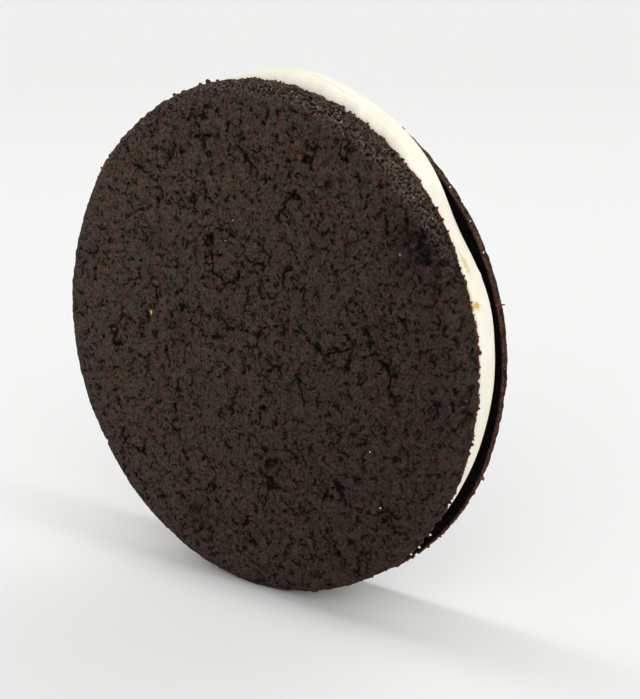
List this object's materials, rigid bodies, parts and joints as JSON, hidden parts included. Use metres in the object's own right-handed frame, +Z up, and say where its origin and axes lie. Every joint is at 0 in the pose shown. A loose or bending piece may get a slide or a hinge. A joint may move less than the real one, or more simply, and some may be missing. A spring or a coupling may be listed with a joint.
{
  "type": "chocolate sandwich cookie",
  "caption": "Round chocolate sandwich cookie standing on its rim: cracked cocoa wafers with a bulging layer of vanilla cream between them.",
  "frame": {"origin": "middle of the bounding box on the floor, midway between the two flat spots that the cookie rests on", "axes": "+Z up; Y along the cookie's axis, through its thickness, with the front wafer's baked face towards -Y; +X to the right as seen from the front"},
  "size_m": [0.0904, 0.0162, 0.0914],
  "materials": {
    "cocoa_wafer": "matt, dark cocoa, baked with fine cracks and pits",
    "vanilla_cream": "smooth ivory cream with a soft sheen"
  },
  "bodies": {
    "root": {"front_wafer": "cocoa_wafer", "cream_filling": "vanilla_cream", "back_wafer": "cocoa_wafer"}
  },
  "joints": []
}
